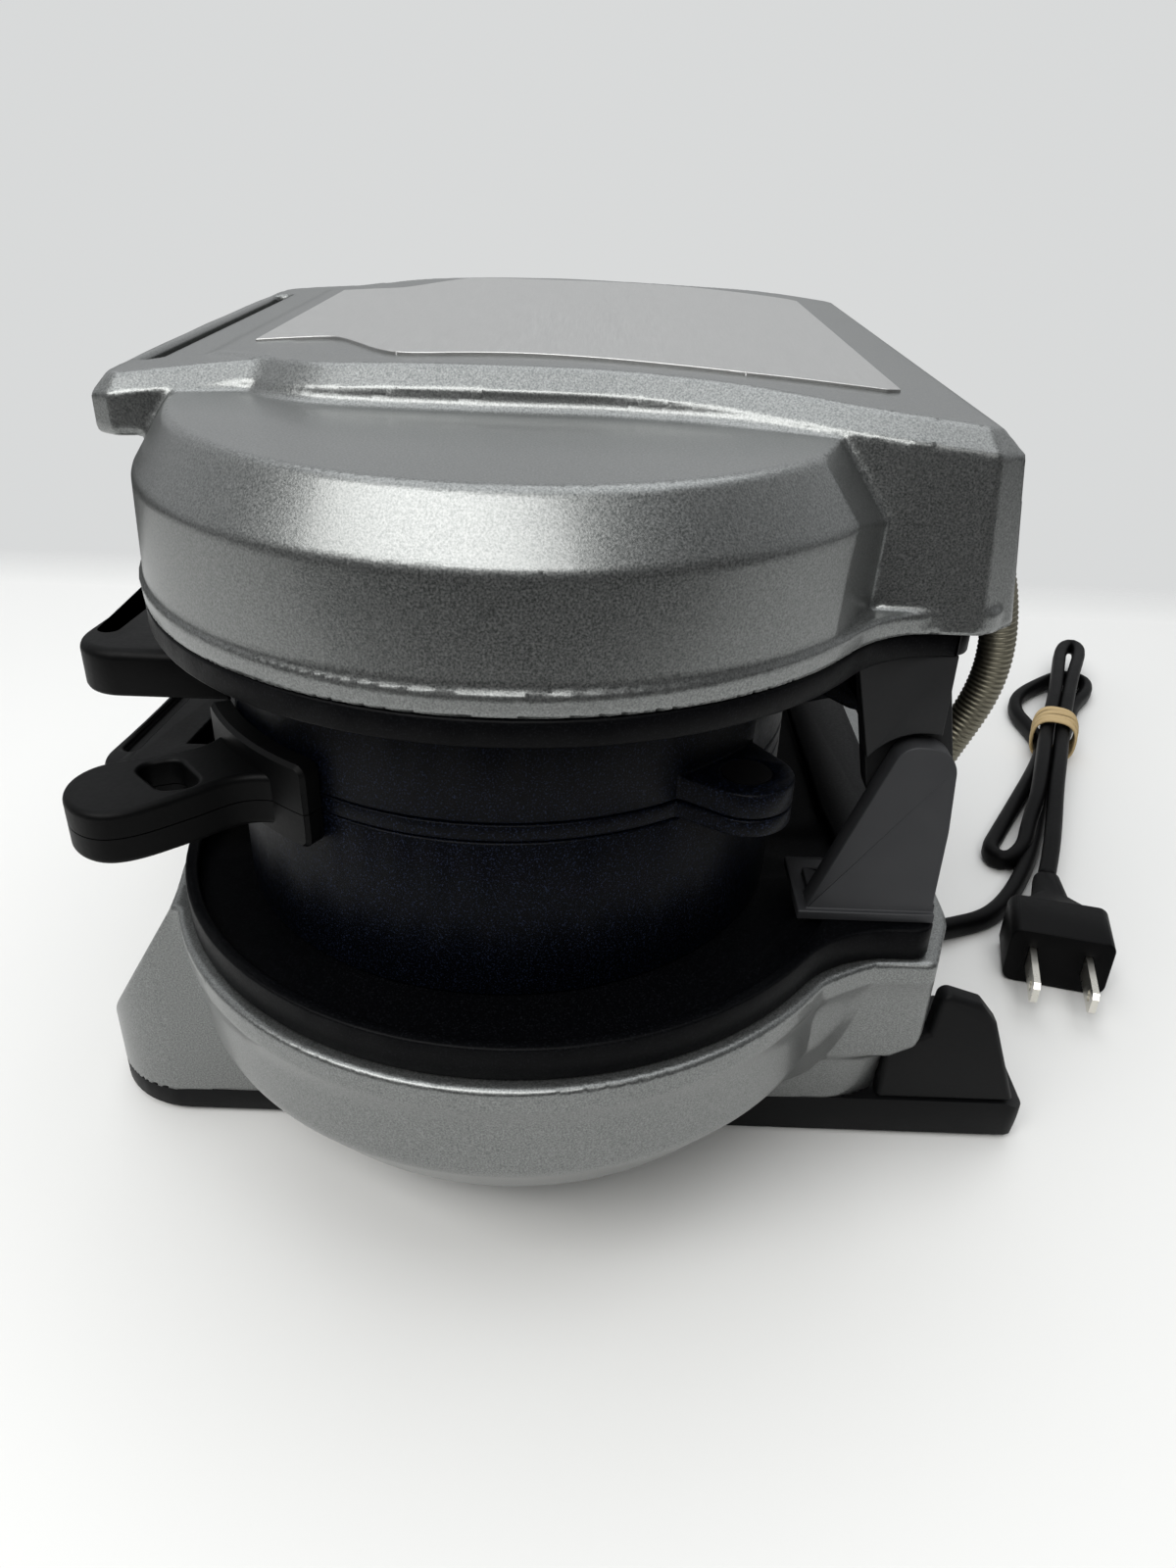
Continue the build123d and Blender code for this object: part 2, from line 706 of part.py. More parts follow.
def make_cover_housing():
    shell = cover_body(0) - cover_body(WALL)
    shell += make_cover_handle()
    shell -= crest_sheet((-2, PANEL_T), panel_plan(0))
    return shell - make_upper_ferrule()


def make_cover_panel():
    return crest_sheet((-0.2, PANEL_T), panel_plan(0.3))


def make_cover_screws():
    screws = []
    for x, y in COVER_SCREWS:
        for side in (-1, 1):
            head = post(side * x, y, (UPPER_PLATE[0] - 1.4, UPPER_PLATE[0]), 3.2)
            screws.append(head + post(side * x, y, (UPPER_PLATE[0], UPPER_PLATE[1]), 1.5))
    return screws


# controls


def make_timer_knob():
    knob = Pos(0, 0, 2.3) * Cylinder(KNOB_R, 3.0)
    knob += Pos(0, 0, 6.8) * Cylinder(KNOB_R - 3.5, 7)
    for turn in range(24):
        knob -= Rot(0, 0, turn * 15) * Pos(KNOB_R - 3.0, 0, 8) * Cylinder(0.9, 8)
    knob += Pos(0, 5.5, 10.5) * Box(1.6, 8, 0.8)
    knob -= Pos(0, 0, 3) * Cylinder(3.0, 10)
    return slope_place(0, 0) * knob


def make_timer_shaft():
    return slope_place(0, -6) * Cylinder(3.0, 28)


def make_timer_body():
    body = Pos(0, 0, -12.5) * Cylinder(13, 15) + Pos(0, 0, -5.8) * Box(40, 9, 1.6)
    return slope_place(0, 0) * (body - Cylinder(3.0 + RUN, 60))


def make_lamp_lens(side):
    lens = Pos(0, 0, 0.6) * Cylinder(4.2, 1.2) + Pos(0, 0, -2) * Cylinder(3.0, 4.0)
    return slope_place(side * LAMP_X, 0) * lens


def make_lamp_tubes():
    tubes = []
    for side in (-1, 1):
        tube = Pos(0, 0, -10.2) * Cylinder(2.6, 12)
        clip = Pos(0, 0, -13) * (Cylinder(4.0, 4) - Cylinder(2.6, 6))
        tubes += [slope_place(side * LAMP_X, 0) * tube, slope_place(side * LAMP_X, 0) * clip]
    return tubes


# wiring


def make_thermostat():
    cup = post(0, 10, (LOWER_RIM - 8, LOWER_RIM + 0.2), 8)
    tabs = block((-13, 13), (8, 12), (LOWER_RIM - 9, LOWER_RIM - 8))
    return cup + tabs


def make_thermal_fuse():
    body = cross_rod((-9, 9), 34, LOWER_RIM - 2, 2.0)
    strap = block((-3, 3), (30, 38), (LOWER_RIM - 2, LOWER_RIM + 0.2))
    return body + strap


def make_terminal_block():
    blocks = block((-18, 18), (48, 60), (BASE_FLOOR, 17))
    for x in (-12, 0, 12):
        blocks -= post(x, 54, (11, 18), 2.0)
    return blocks


def make_cord_gland():
    """The strain relief at the back: a flange on the wall, and a ribbed cone that leans down."""
    x, y, z = CORD_EXIT
    outside = [(0, -3), (5.2, -3), (5.2, 1), (3.8, GLAND_CONE), (0, GLAND_CONE)]
    cone = revolve(Plane.XZ * polygon(outside), Axis.Z)
    for height in (6, 10, 14):
        cone -= Pos(0, 0, height) * (Cylinder(8, 1.2) - Cylinder(3.6, 2))
    cone = Pos(x, y + GLAND_FLANGE, z) * Rot(-90 - GLAND_TILT, 0, 0) * cone
    cone &= block((x - 20, x + 20), (y, y + 40), (z - 30, z + 30))
    flange = post(0, 0, (0, GLAND_FLANGE), 6.5) + post(0, 0, (-12, 0), 4.2)
    return Pos(x, y, z) * Rot(-90, 0, 0) * flange + cone


def routed(points, name):
    """Straight runs joined by tangent arcs, each as large as its two runs allow."""
    spots = [Vector(*p) for p in points]
    radii = []
    for before, here, after in zip(spots, spots[1:], spots[2:]):
        turn = math.radians((here - before).get_angle(after - here))
        shorter = min((here - before).length, (after - here).length)
        radii.append(0.45 * shorter / math.tan(turn / 2))
    print(name, "radii", [round(r, 1) for r in radii])
    return FilletPolyline(*points, radius=radii)


def tube(points, radius, name):
    path = routed(points, name)
    start = Plane(origin=path @ 0, z_dir=path % 0)
    solid = sweep(start * Circle(radius), path)
    print(name, "length", round(path.length, 1), "volume ratio", solid.volume / (path.length * math.pi * radius**2))
    return solid


def conduit_points():
    """From the back of the cover in a shallow bow down into the base."""
    tilt = math.radians(FERRULE_TILT)
    start, bend = (
        (80 + reach * math.cos(tilt), CONDUIT_TOP - reach * math.sin(tilt)) for reach in (3, 9)
    )
    side = [start, bend, (90.8, 119), (90.6, 107), (88.0, 95.5)]
    side += [(84.8, 85), (CONDUIT_DOWN_Y, 73), (CONDUIT_DOWN_Y, LOWER_RIM + 3)]
    return [(CONDUIT_X, y, z) for y, z in side]


def ferrule():
    return Pos(0, 0, 1.5) * Cylinder(COLLAR_R, 3) + Pos(0, 0, -3) * Cylinder(FERRULE_R, 6)


def make_upper_ferrule():
    return Pos(CONDUIT_X, 80, CONDUIT_TOP) * Rot(-90 - FERRULE_TILT, 0, 0) * ferrule()


def make_lower_ferrule():
    return Pos(CONDUIT_X, CONDUIT_DOWN_Y, LOWER_RIM) * ferrule()


def hank_place():
    return Pos(HANK_START[0], HANK_START[1], 0) * Rot(0, 0, HANK_TURN)


def make_cord_hank():
    """The tied bundle of spare cord, narrower under its band."""
    bundle = block((0, HANK_LENGTH), (-11, 11), (0.2, 15))
    bundle = fillet(bundle.edges().filter_by(Axis.X), 5)
    bundle = fillet(bundle.edges().filter_by(Axis.Z).group_by(Axis.X)[-1], 4)
    waist = block(BAND, (-15, 15), (-2, 20)) - block(BAND, (-9.5, 9.5), (1.6, 13.4))
    return hank_place() * (bundle - waist)


def make_cord_band():
    outer = fillet(block(BAND, (-11.5, 11.5), (0.1, 15.2)).edges().filter_by(Axis.X), 5)
    return hank_place() * (outer - block(BAND, (-9.5, 9.5), (1.6, 13.4)))


def plug_place():
    return Pos(PLUG_NOSE[0], PLUG_NOSE[1], 8.6) * Rot(0, 0, PLUG_TURN)


def make_plug_body():
    body = block((0, 17), (-13, 13), (-8.4, 8.4))
    body = fillet(body.edges().filter_by(Axis.X), 3)
    shoulder = Plane.YZ * Pos(0, 0, 17) * RectangleRounded(22, 14, 3)
    neck = Plane.YZ * Pos(0, 0, 27) * RectangleRounded(10, 8.5, 3)
    rear = Plane.YZ * Pos(0, 0, 39.6) * RectangleRounded(7.2, 6.4, 2.6)
    body += loft([shoulder, neck]) + loft([neck, rear])
    for across in BLADES:
        body -= block((-1, 8), (across - 0.8, across + 0.8), (-3.2, 3.2))
    return plug_place() * body


def make_plug_blades():
    blades = []
    for across in BLADES:
        blade = block((-16, 8), (across - 0.8, across + 0.8), (-3.2, 3.2))
        blade -= Pos(-12, across, 0) * Rot(90, 0, 0) * Cylinder(1.5, 4)
        blade = chamfer(blade.edges().filter_by(Axis.Y).group_by(Axis.X)[0], 1.2)
        blades.append(plug_place() * blade)
    return blades


save(make_lower_housing(), "lower_housing")
save(make_base_plate(), "base_plate")
save(both_sides(make_rear_foot()), "rear_feet")
save(make_rubber_feet(), "rubber_feet")
save(make_base_screws(), "base_screws")
save(make_lower_plate(), "lower_heating_plate")
save(element_pair(LOWER_RIM - 3.2, 3.0, 44), "lower_elements")
save(make_thermostat(), "thermostat")
save(make_thermal_fuse(), "thermal_fuse")
save(make_terminal_block(), "terminal_block")
save(make_timer_body(), "timer_body")
save(make_timer_shaft(), "timer_shaft")
save(make_timer_knob(), "timer_knob")
save(make_lamp_lens(-1), "power_lens")
save(make_lamp_lens(1), "preheat_lens")
save(make_lamp_tubes(), "lamp_tubes")
save(make_bracket(), "hinge_bracket_right")
save(mirrored(make_bracket()), "hinge_bracket_left")
save(both_sides(make_bracket_screw()), "bracket_screws")
save(make_hinge_rod(), "hinge_rod")
save(make_cord_gland(), "cord_gland")
save(make_lower_ferrule(), "conduit_ferrule_lower")

save(make_cover_housing(), "cover_housing")
save(make_cover_panel(), "cover_panel")
save(make_upper_plate(), "upper_heating_plate")
save(element_pair(UPPER_PLATE[1] + 3.4, 3.0, 137), "upper_elements")
save(make_hinge_arm(), "hinge_arm_right")
save(mirrored(make_hinge_arm()), "hinge_arm_left")
save(make_cover_screws(), "cover_screws")
save(make_upper_ferrule(), "conduit_ferrule_upper")
save(tube(conduit_points(), CONDUIT_R, "conduit"), "conduit")

save(make_lower_ring(), "lower_rings")
save(make_ring_handle(LOWER_HANDLE), "lower_ring_handle")
save(make_handle_screws(LOWER_HANDLE), "lower_handle_screws")
save(make_upper_ring(), "upper_rings")
save(make_ring_handle(UPPER_HANDLE), "upper_ring_handle")
save(make_handle_screws(UPPER_HANDLE), "upper_handle_screws")

for side, place in (("right", lambda shape: shape), ("left", mirrored)):
    save(place(make_cooking_plate()), f"cooking_plate_{side}")
    save(place(make_pivot_rivet()), f"pivot_rivet_{side}")
    save(place(make_cook_handle_top()), f"cook_handle_top_{side}")
    save(place(make_cook_handle_bottom()), f"cook_handle_bottom_{side}")
    save([place(screw) for screw in make_cook_handle_screws()], f"cook_handle_screws_{side}")

save(tube(CORD_ROUTE, CORD_R, "mains_cord"), "mains_cord")
save(tube(LEAD_ROUTE, CORD_R, "plug_lead"), "plug_lead")
save(make_cord_hank(), "cord_hank")
save(make_cord_band(), "cord_band")
save(make_plug_body(), "plug_body")
save(make_plug_blades(), "plug_blades")
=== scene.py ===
import json
import math

import bmesh
import bpy
import numpy as np
from mathutils import Matrix, Vector


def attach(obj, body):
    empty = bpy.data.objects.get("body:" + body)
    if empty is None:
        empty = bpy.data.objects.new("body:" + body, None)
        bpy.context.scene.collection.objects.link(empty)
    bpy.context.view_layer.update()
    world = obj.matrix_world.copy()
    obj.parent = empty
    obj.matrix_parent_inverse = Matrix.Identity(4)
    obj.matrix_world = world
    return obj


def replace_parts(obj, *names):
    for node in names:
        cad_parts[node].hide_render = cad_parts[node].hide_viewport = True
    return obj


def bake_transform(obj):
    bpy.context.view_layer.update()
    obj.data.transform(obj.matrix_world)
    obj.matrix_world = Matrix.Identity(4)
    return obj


# A closed twin sandwich maker in metres: X runs across the two lobes, -Y is the front, Z is up.
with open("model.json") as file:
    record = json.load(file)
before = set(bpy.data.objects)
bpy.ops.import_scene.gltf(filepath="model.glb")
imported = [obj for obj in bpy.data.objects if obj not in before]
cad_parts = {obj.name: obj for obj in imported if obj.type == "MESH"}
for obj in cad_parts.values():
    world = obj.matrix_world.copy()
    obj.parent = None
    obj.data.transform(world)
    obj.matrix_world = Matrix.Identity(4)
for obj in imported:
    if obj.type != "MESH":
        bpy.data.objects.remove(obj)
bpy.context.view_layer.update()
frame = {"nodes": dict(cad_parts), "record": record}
nodes = frame["nodes"]
print("frame loaded with", len(nodes), "nodes")

# The solids' middle lies this far in front of the line between the lobe centres, in metres.
midDepth = 0.007165
# Half of the distance between the lobe centres, in millimetres.
lobeX = 58


def linked(name, mesh):
    piece = bpy.data.objects.new(name, mesh)
    bpy.context.scene.collection.objects.link(piece)
    return piece


# shader maths


class Socket:
    def __init__(self, tree, output):
        self.tree = tree
        self.output = output

    def math(self, operation, *others):
        node = self.tree.nodes.new("ShaderNodeMath")
        node.operation = operation
        for slot, value in zip(node.inputs, (self, *others)):
            plug(self.tree, slot, value)
        return Socket(self.tree, node.outputs[0])

    def __add__(self, other):
        return self.math("ADD", other)

    def __sub__(self, other):
        return self.math("SUBTRACT", other)

    def __mul__(self, other):
        return self.math("MULTIPLY", other)

    def __truediv__(self, other):
        return self.math("DIVIDE", other)

    def clamped(self, low, high):
        return self.math("MAXIMUM", low).math("MINIMUM", high)

    def ramp(self, start, end):
        return ((self - start) / (end - start)).clamped(0, 1)


def plug(tree, slot, value):
    if isinstance(value, Socket):
        tree.links.new(value.output, slot)
    else:
        slot.default_value = value


class Paint:
    # one material with a principled shader, and the nodes that vary it

    def __init__(self, name, **constants):
        self.material = bpy.data.materials.new(name)
        self.material.use_nodes = True
        self.tree = self.material.node_tree
        self.shader = self.tree.nodes["Principled BSDF"]
        for label, value in constants.items():
            self.set(label, value)
        coordinates = self.tree.nodes.new("ShaderNodeTexCoord")
        self.place = Socket(self.tree, coordinates.outputs["Object"])

    def set(self, label, value):
        title = label.replace("_", " ")
        plug(self.tree, self.shader.inputs[title], value)

    def node(self, kind, output, inputs, **settings):
        made = self.tree.nodes.new(f"ShaderNode{kind}")
        for key, value in settings.items():
            setattr(made, key, value)
        for key, value in inputs.items():
            plug(self.tree, made.inputs[key], value)
        return Socket(self.tree, made.outputs[output])

    def stretched(self, x, y, z):
        return self.node("Mapping", "Vector", {"Vector": self.place, "Scale": (x, y, z)})

    def noise(self, scale, detail=2.0, vector=None, roughness=0.5):
        inputs = {"Vector": vector or self.place, "Scale": scale}
        inputs.update({"Detail": detail, "Roughness": roughness})
        return self.node("TexNoise", "Fac", inputs)

    def mix(self, factor, first, second):
        node = self.tree.nodes.new("ShaderNodeMix")
        node.data_type = "RGBA"
        plug(self.tree, node.inputs["Factor"], factor)
        plug(self.tree, node.inputs[6], (*first, 1) if isinstance(first, tuple) else first)
        plug(self.tree, node.inputs[7], (*second, 1) if isinstance(second, tuple) else second)
        return Socket(self.tree, node.outputs[2])

    def bump(self, height, distance, strength=1.0):
        inputs = {"Height": height, "Distance": distance, "Strength": strength}
        self.set("Normal", self.node("Bump", "Normal", inputs))


# materials


def silverPaint():
    # a metallic lacquer: fine flakes lean every way in a mid grey, under a thin clear coat
    paint = Paint("silverPaint", Metallic=0.9, Coat_Roughness=0.12, Coat_Weight=0.25)
    flakes = paint.noise(3000, 1, roughness=0.6)
    drift = paint.noise(30, 3)
    tone = flakes.ramp(0.28, 0.74) * 0.8 + drift * 0.2
    paint.set("Base_Color", paint.mix(tone, (0.11, 0.117, 0.115), (0.29, 0.297, 0.293)))
    paint.set("Roughness", flakes * 0.2 + 0.27)
    paint.bump(flakes, 0.00004, 0.5)
    return paint.material


def brushedInlay():
    # aluminium sheet with long strokes along X
    paint = Paint("brushedInlay", Metallic=0.95)
    strokes = paint.noise(60, 6, paint.stretched(2, 60, 60), 0.65)
    fine = paint.noise(400, 3, paint.stretched(1, 30, 30))
    tone = strokes * 0.6 + fine * 0.4
    paint.set("Base_Color", paint.mix(tone, (0.36, 0.36, 0.355), (0.62, 0.62, 0.61)))
    paint.set("Roughness", strokes * 0.2 + 0.3)
    paint.bump(fine, 0.00003, 0.5)
    return paint.material


def speckled(name, base, speck, rough, shine=0.3):
    # a sprayed coating with small lighter specks and a fine grain
    paint = Paint(name, Specular_IOR_Level=shine)
    specks = paint.noise(3200, 1, roughness=0.5).ramp(0.55, 0.78)
    grain = paint.noise(1500, 3)
    paint.set("Base_Color", paint.mix(specks, base, speck))
    paint.set("Roughness", grain * 0.2 + rough)
    paint.bump(grain + specks * 0.5, 0.00004, 0.5)
    return paint.material


def moulded(name, base, worn, rough, grain=1100, shine=0.25):
    # matte moulded plastic or rubber with a fine spark-eroded texture
    paint = Paint(name, Specular_IOR_Level=shine)
    texture = paint.noise(grain, 3)
    patches = paint.noise(45, 4).ramp(0.45, 0.8)
    paint.set("Base_Color", paint.mix(patches * 0.5 + texture * 0.2, base, worn))
    paint.set("Roughness", patches * 0.12 + texture * 0.12 + rough)
    paint.bump(texture, 0.00005, 0.5)
    return paint.material


def metal(name, dark, light, rough, metallic=1.0):
    # bare or blackened metal with faint stains and a fine grain
    paint = Paint(name, Metallic=metallic)
    stain = paint.noise(120, 4)
    fine = paint.noise(1500, 3)
    paint.set("Base_Color", paint.mix(stain, dark, light))
    paint.set("Roughness", stain * 0.15 + fine * 0.1 + rough)
    paint.bump(fine, 0.00003, 0.4)
    return paint.material


def clearLens(name, colour):
    # a slightly cloudy clear or tinted moulding
    paint = Paint(name, Transmission_Weight=0.55, IOR=1.5)
    cloud = paint.noise(300, 3)
    paint.set("Base_Color", paint.mix(cloud, colour, tuple(0.7 * part for part in colour)))
    paint.set("Roughness", cloud * 0.1 + 0.12)
    return paint.material


finishes = {
    "silver_paint": silverPaint(),
    "brushed_inlay": brushedInlay(),
    "black_plastic": moulded(
        "blackPlastic", (0.002, 0.0022, 0.0025), (0.006, 0.006, 0.0066), 0.42, shine=0.14
    ),
    "handle_plastic": moulded(
        "handlePlastic", (0.0007, 0.0008, 0.0009), (0.0024, 0.0024, 0.0026), 0.38, shine=0.1
    ),
    "nonstick": speckled("nonstick", (0.0007, 0.0008, 0.0012), (0.006, 0.0065, 0.008), 0.36, 0.07),
    "ring_coating": speckled("ringCoating", (0.0005, 0.0008, 0.0018), (0.014, 0.02, 0.042), 0.34, 0.08),
    "hinge_metal": metal("hingeMetal", (0.028, 0.029, 0.032), (0.044, 0.045, 0.048), 0.45, 0.3),
    "steel": metal("steel", (0.45, 0.45, 0.44), (0.6, 0.6, 0.59), 0.25),
    "conduit_steel": metal("conduitSteel", (0.15, 0.141, 0.11), (0.26, 0.244, 0.186), 0.36),
    "element": metal("element", (0.12, 0.115, 0.11), (0.2, 0.19, 0.18), 0.5, 0.7),
    "rubber_foot": moulded("rubberFoot", (0.012, 0.012, 0.012), (0.03, 0.03, 0.029), 0.6),
    "ceramic_white": moulded("ceramic", (0.62, 0.6, 0.55), (0.7, 0.68, 0.62), 0.3),
    "lens_red": clearLens("lensRed", (0.6, 0.03, 0.02)),
    "lens_green": clearLens("lensGreen", (0.03, 0.4, 0.1)),
    "lamp_glass": clearLens("lampGlass", (0.85, 0.82, 0.78)),
    "cord_pvc": moulded(
        "cordRubber", (0.0008, 0.0008, 0.001), (0.0024, 0.0024, 0.0024), 0.4, 800, 0.08
    ),
    "band_rubber": moulded("bandRubber", (0.4, 0.29, 0.14), (0.5, 0.38, 0.21), 0.55, 400),
    "nickel": metal("nickel", (0.68, 0.66, 0.6), (0.78, 0.76, 0.7), 0.18),
}


# the slot and the body of each node
slotOf = {part["node"]: part["material_slot"] for part in frame["record"]["subparts"]}
bodies = frame["record"]["behaviour"]["bodies"]
bodyOf = {node: body for body, names in bodies.items() for node in names}
for node, slot in slotOf.items():
    mesh = nodes[node].data
    mesh.materials.clear()
    mesh.materials.append(finishes[slot])

# the hinge arms are darker than their brackets, and the rivets, screws and rod are blackened
ownFinish = {
    "hinge_arm_right": metal("armMetal", (0.006, 0.0063, 0.007), (0.012, 0.0124, 0.0135), 0.48, 0.3),
    "pivot_rivet_right": metal("rivetSteel", (0.001, 0.001, 0.0014), (0.004, 0.004, 0.005), 0.4, 0.5),
}
ownFinish["hinge_arm_left"] = ownFinish["hinge_arm_right"]
ownFinish["pivot_rivet_left"] = ownFinish["pivot_rivet_right"]
for node in ("bracket_screws", "hinge_rod"):
    ownFinish[node] = ownFinish["pivot_rivet_right"]
for node, finish in ownFinish.items():
    nodes[node].data.materials[0] = finish
print("materials made:", len(finishes) + 2)

# solids given by a field that is negative inside, in millimetres from the line of the lobe centres

halfDiagonal = 0.7071


def joinRound(first, second, radius):
    # both solids, with a fillet in the corner between them
    gap = np.hypot(np.maximum(radius - first, 0), np.maximum(radius - second, 0))
    return np.maximum(radius, np.minimum(first, second)) - gap


def joinBevel(first, second, size):
    return np.minimum(np.minimum(first, second), (first + second - size) * halfDiagonal)


def meetRound(first, second, radius):
    # what the two solids share, with a rounded edge
    gap = np.hypot(np.maximum(radius + first, 0), np.maximum(radius + second, 0))
    return np.minimum(-radius, np.maximum(first, second)) + gap


def meetBevel(first, second, size):
    return np.maximum(np.maximum(first, second), (first + second + size) * halfDiagonal)


def softStep(value, start, end):
    share = np.clip((value - start) / (end - start), 0, 1)
    return share * share * (3 - 2 * share)


def outlineField(x, y, points):
    # the distance to a closed outline, negative inside it
    nearest = np.inf
    sign = 1.0
    for (ax, ay), (bx, by) in zip(points, points[1:] + points[:1]):
        if ax == bx == 0:
            # the line of symmetry is no edge
            continue
        alongX, alongY = bx - ax, by - ay
        share = ((x - ax) * alongX + (y - ay) * alongY) / (alongX**2 + alongY**2)
        share = np.clip(share, 0, 1)
        apart = (x - ax - share * alongX) ** 2 + (y - ay - share * alongY) ** 2
        nearest = np.minimum(nearest, apart)
        if by != ay:
            crosses = ((ay <= y) != (by <= y)) & (x < ax + (y - ay) * alongX / alongY)
            sign = np.where(crosses, -sign, sign)
    return np.sqrt(nearest) * sign


def curvePart(a, b, c, d, t):
    # a smooth value between b and c, which lie between a and d
    square = (2 * a - 5 * b + 4 * c - d) * t**2
    cube = (3 * b - a - 3 * c + d) * t**3
    return 0.5 * (2 * b + (c - a) * t + square + cube)


def curveThrough(points, steps):
    # a smooth line through the points
    ends = [points[0], *points, points[-1]]
    line = []
    for four in zip(ends, ends[1:], ends[2:], ends[3:]):
        for step in range(steps):
            line.append(tuple(curvePart(*values, step / steps) for values in zip(*four)))
    return line + [points[-1]]


def lobePlan(radius, backHalf, backY):
    # half of the outline that the heating plates share, starting in the middle of the front:
    # round the lobe, through the hollow blend and round the rear corner
    blend, corner = 24.0, 4
    quarter = math.pi / 2
    curveX = backHalf + blend
    curveY = math.sqrt((radius + blend) ** 2 - (curveX - lobeX) ** 2)
    meet = math.atan2(curveY, curveX - lobeX)
    points = [(0, -radius)]
    for step in range(33):
        angle = -quarter + (meet + quarter) * step / 32
        points.append((lobeX + radius * math.cos(angle), radius * math.sin(angle)))
    for step in range(1, 11):
        angle = meet + math.pi - meet * step / 10
        points.append((curveX + blend * math.cos(angle), curveY + blend * math.sin(angle)))
    for step in range(6):
        angle = quarter * step / 5
        x, y = corner * math.cos(angle), corner * math.sin(angle)
        points.append((backHalf - corner + x, backY - corner + y))
    return points + [(0, backY)]


def fieldGradient(field, x, y, z):
    reach = 0.04
    slopes = []
    for dx, dy, dz in np.eye(3) * reach:
        rise = field(x + dx, y + dy, z + dz) - field(x - dx, y - dy, z - dz)
        slopes.append(rise / (2 * reach))
    return slopes


def cellFaces(inside, cell, axis):
    # one face round each grid edge along this axis that crosses the surface
    crossing = np.diff(inside.astype(np.int8), axis=axis)
    across = [(axis + 1) % 3, (axis + 2) % 3]
    index = np.nonzero(crossing)
    keep = np.ones(len(index[0]), bool)
    for other in across:
        keep &= (index[other] > 0) & (index[other] < inside.shape[other] - 1)
    index = [values[keep] for values in index]
    leaving = crossing[tuple(index)] < 0
    ring = []
    for first, second in ((1, 1), (0, 1), (0, 0), (1, 0)):
        spot = list(index)
        spot[across[0]] = index[across[0]] - first
        spot[across[1]] = index[across[1]] - second
        ring.append(cell[tuple(spot)])
    faces = np.stack(ring, axis=1)
    return np.where(leaving[:, None], faces, faces[:, ::-1])


def fieldPiece(name, field, low, high, step):
    # the surface where the field is nought, worked out for +X on a grid of this step and mirrored
    start = (-step / 2, *low)
    axes = [np.arange(a, b + step, step) for a, b in zip(start, high)]
    x, y, z = np.meshgrid(*axes, indexing="ij", sparse=True)
    inside = field(x, y, z) < 0
    corners = np.zeros([n - 1 for n in inside.shape], np.int8)
    for dx in (0, 1):
        for dy in (0, 1):
            for dz in (0, 1):
                size = corners.shape
                corners += inside[dx : dx + size[0], dy : dy + size[1], dz : dz + size[2]]
    spots = np.nonzero((corners > 0) & (corners < 8))
    cell = np.full(corners.shape, -1)
    cell[spots] = np.arange(len(spots[0]))
    place = [axis[spot] + step / 2 for axis, spot in zip(axes, spots)]
    # four steps down the slope bring the middle of each cell onto the surface
    for _ in range(4):
        value = field(*place)
        slope = fieldGradient(field, *place)
        steepness = np.maximum(sum(s * s for s in slope), 0.2)
        share = np.clip(value / steepness, -step, step)
        place = [p - share * s for p, s in zip(place, slope)]
    points = np.stack(place, axis=1)
    faces = np.concatenate([cellFaces(inside, cell, axis) for axis in range(3)])
    # the points on the line of symmetry serve both halves
    points[np.abs(points[:, 0]) < 0.02, 0] = 0
    own = np.arange(len(points))
    twin = np.where(points[:, 0] == 0, own, own + len(points))
    faces = np.concatenate([faces, twin[faces[:, ::-1]]])
    points = np.concatenate([points, points * (-1, 1, 1)])
    used, faces = np.unique(faces, return_inverse=True)
    points = points[used] / 1000 - (0, midDepth, 0)
    mesh = bpy.data.meshes.new(name)
    mesh.from_pydata(points.tolist(), [], faces.reshape(-1, 4).tolist())
    # slivers go, or they spoil the shading round them
    build = bmesh.new()
    build.from_mesh(mesh)
    bmesh.ops.remove_doubles(build, verts=build.verts, dist=0.00018 * step)
    build.to_mesh(mesh)
    build.free()
    mesh.polygons.foreach_set("use_smooth", [True] * len(mesh.polygons))
    mesh.materials.append(finishes["silver_paint"])
    print(name, "has", len(mesh.polygons), "faces")
    return linked(name, mesh)


# cover shell, in millimetres

cover = {
    "topZ": 160.3,
    "fall": 4.8,  # of the crest at each end
    "fallReach": 77.0,
    "wallRadius": 67.6,
    "wallZ": 127.1,
    "wallLean": 0.0424,
    "coneRadius": 66.9,
    "coneZ": 143.6,
    "lobeTopZ": 153.3,
    "crestBevel": 3.7,
    "footZ": 123.2,
    "gripFloorZ": 145.6,
    "slotHalf": 50,
    "slotY": -69.1,
    "slotHalfWidth": 2.3,
}
crestPlan = [(59, -50), (62.5, -46), (66.5, -41.5), (70, -34), (71.6, -22), (72.6, 0), (72.8, 16)]
crestPlan = curveThrough(crestPlan + [(75.8, 33), (80, 44), (83.6, 53), (85, 62)], 4)
crestPlan = [(0, -60), (52, -60)] + crestPlan + [(85.2, 76.3), (81.6, 81), (0, 81)]
flangePlan = lobePlan(68.4, 88.5, 82)
handlePlan = [(0, -77), (40, -76.4), (60, -75.6), (65, -74), (67, -70.5), (66, -64), (63, -52)]
handlePlan += [(61, -42), (0, -42)]


def crestHeight(y):
    return cover["topZ"] - cover["fall"] * (y / cover["fallReach"]) ** 2


